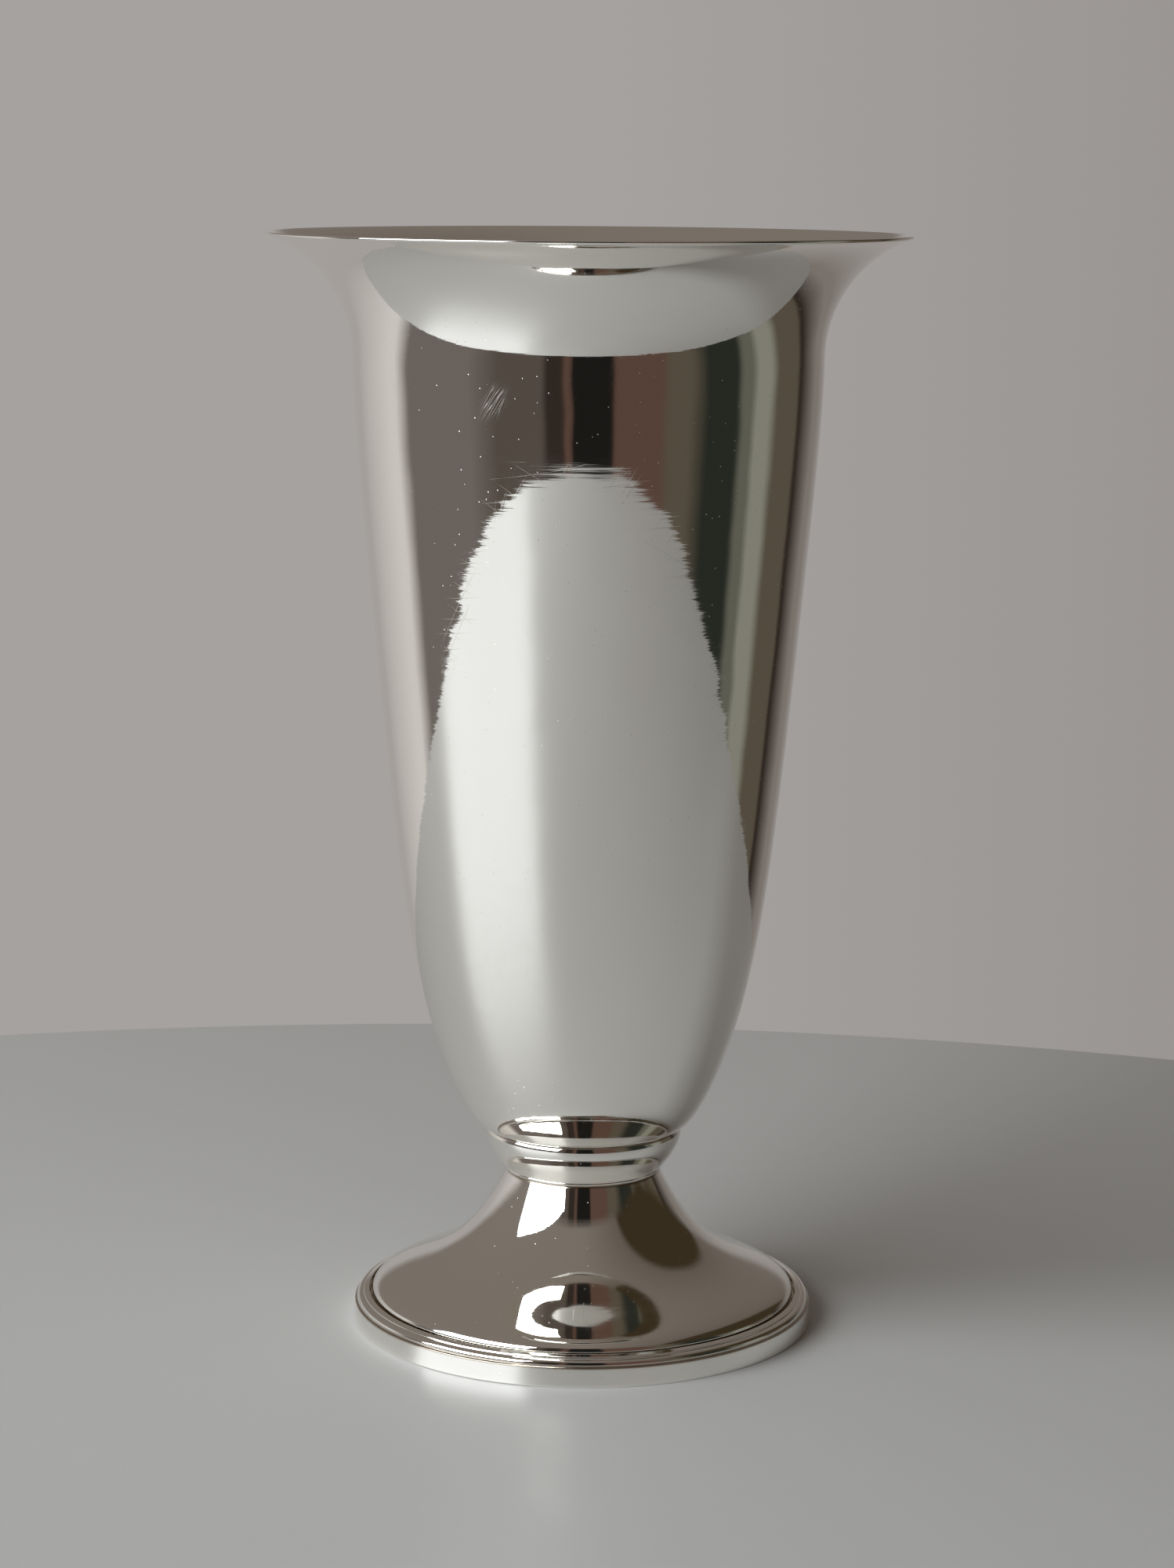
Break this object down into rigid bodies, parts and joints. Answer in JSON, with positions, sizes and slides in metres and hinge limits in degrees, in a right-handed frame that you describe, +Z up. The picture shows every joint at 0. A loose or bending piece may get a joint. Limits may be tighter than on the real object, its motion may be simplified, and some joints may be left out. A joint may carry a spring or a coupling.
{
  "type": "trumpet vase",
  "caption": "Tall round vase: a slender bowl with an out-curled trumpet lip on a turned collar and a domed foot with a stepped, banded edge.",
  "frame": {"origin": "centre of the foot's underside, on the vase's axis, where it stands", "axes": "+Z up along the vase's axis, from the foot to the mouth; the vase is round, so X and Y are free"},
  "size_m": [0.1154, 0.1154, 0.2],
  "materials": {
    "polished_silver": "sterling silver, hand polished to a mirror with fine turning lines and light wear"
  },
  "bodies": {
    "root": {"bowl": "polished_silver", "collar": "polished_silver", "foot": "polished_silver", "foot_band": "polished_silver"}
  },
  "joints": []
}
